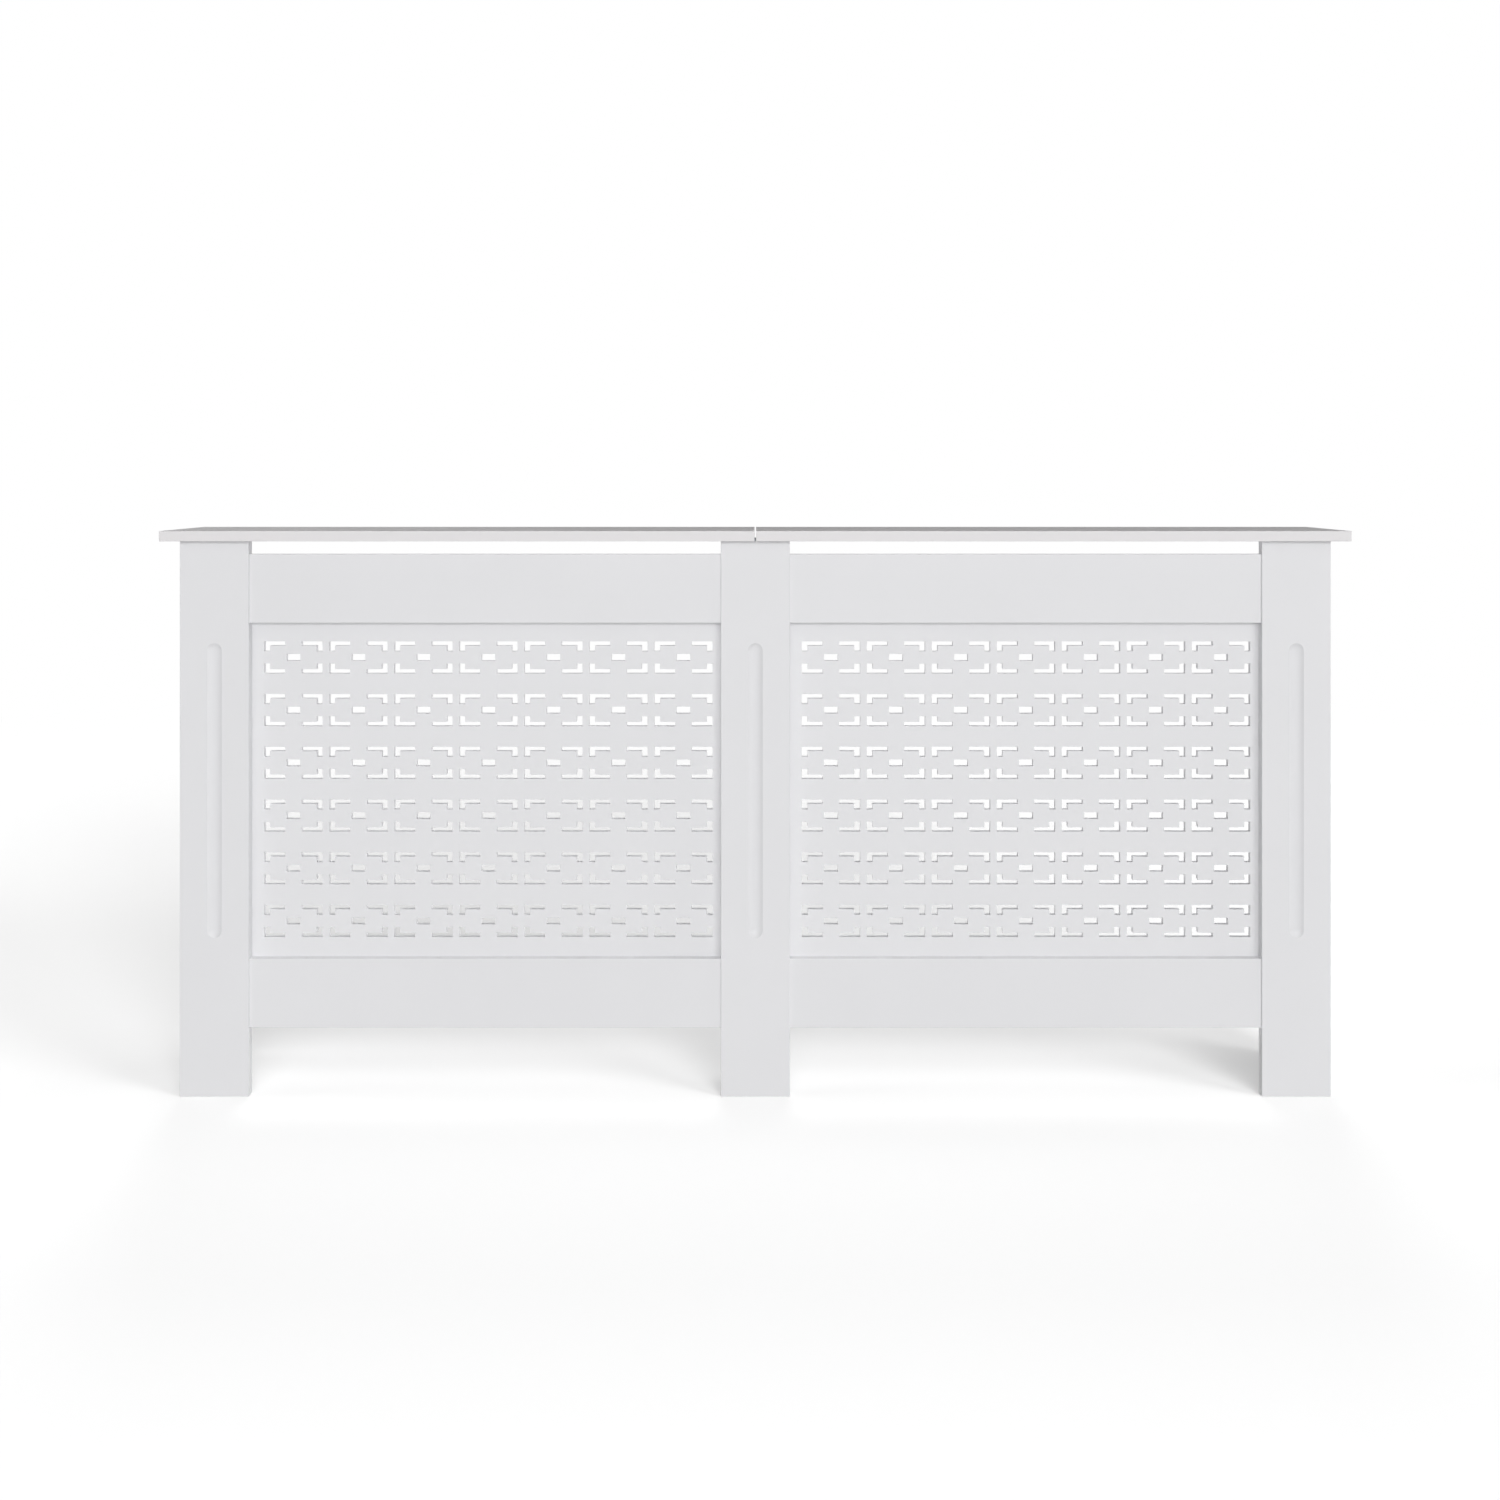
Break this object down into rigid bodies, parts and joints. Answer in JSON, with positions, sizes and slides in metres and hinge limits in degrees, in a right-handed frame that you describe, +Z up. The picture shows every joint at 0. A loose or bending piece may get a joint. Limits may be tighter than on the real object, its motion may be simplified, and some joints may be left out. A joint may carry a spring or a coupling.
{
  "type": "radiator cover cabinet",
  "caption": "White painted radiator cover with fluted front posts, plain rails, perforated lattice grilles, a warm-air slot, end panels and a shelf top in halves.",
  "frame": {"origin": "on the floor, midway between the two ends of the shelf and midway between its front edge and the wall", "axes": "+X to the right along the cover seen from the front, +Y back to the wall, +Z up; the fluted front faces -Y"},
  "size_m": [1.72, 0.19, 0.82],
  "materials": {
    "painted_board": "white satin paint on MDF",
    "painted_grille": "white satin paint on thin perforated MDF",
    "beech_dowel": "turned beech with chamfered ends",
    "zinc_cam": "die-cast zinc alloy, dull nickel plating",
    "zinc_bolt": "bright zinc plating",
    "zinc_screw": "bright zinc plating",
    "zinc_plate": "zinc-plated pressed steel"
  },
  "bodies": {
    "root": {"top_board_left": "painted_board", "top_board_right": "painted_board", "end_panel_left": "painted_board", "end_panel_right": "painted_board", "front_post_left": "painted_board", "front_post_centre": "painted_board", "front_post_right": "painted_board", "upper_rail_left": "painted_board", "upper_rail_right": "painted_board", "lower_rail_left": "painted_board", "lower_rail_right": "painted_board", "grille_panel_left": "painted_grille", "grille_panel_right": "painted_grille", "rail_dowels_left": "beech_dowel", "rail_dowels_right": "beech_dowel", "post_head_dowels": "beech_dowel", "end_panel_dowels_left": "beech_dowel", "end_panel_dowels_right": "beech_dowel", "cam_locks_left": "zinc_cam", "cam_locks_right": "zinc_cam", "cam_bolts_left": "zinc_bolt", "cam_bolts_right": "zinc_bolt", "grille_screws_left": "zinc_screw", "grille_screws_right": "zinc_screw", "joint_plate_front": "zinc_plate", "joint_plate_rear": "zinc_plate", "joint_plate_screws": "zinc_screw", "post_angle_left": "zinc_plate", "post_angle_right": "zinc_plate", "post_angle_screws": "zinc_screw", "wall_angle_outer_left": "zinc_plate", "wall_angle_inner_left": "zinc_plate", "wall_angle_inner_right": "zinc_plate", "wall_angle_outer_right": "zinc_plate", "wall_angle_screws_left": "zinc_screw", "wall_angle_screws_right": "zinc_screw"}
  },
  "joints": []
}
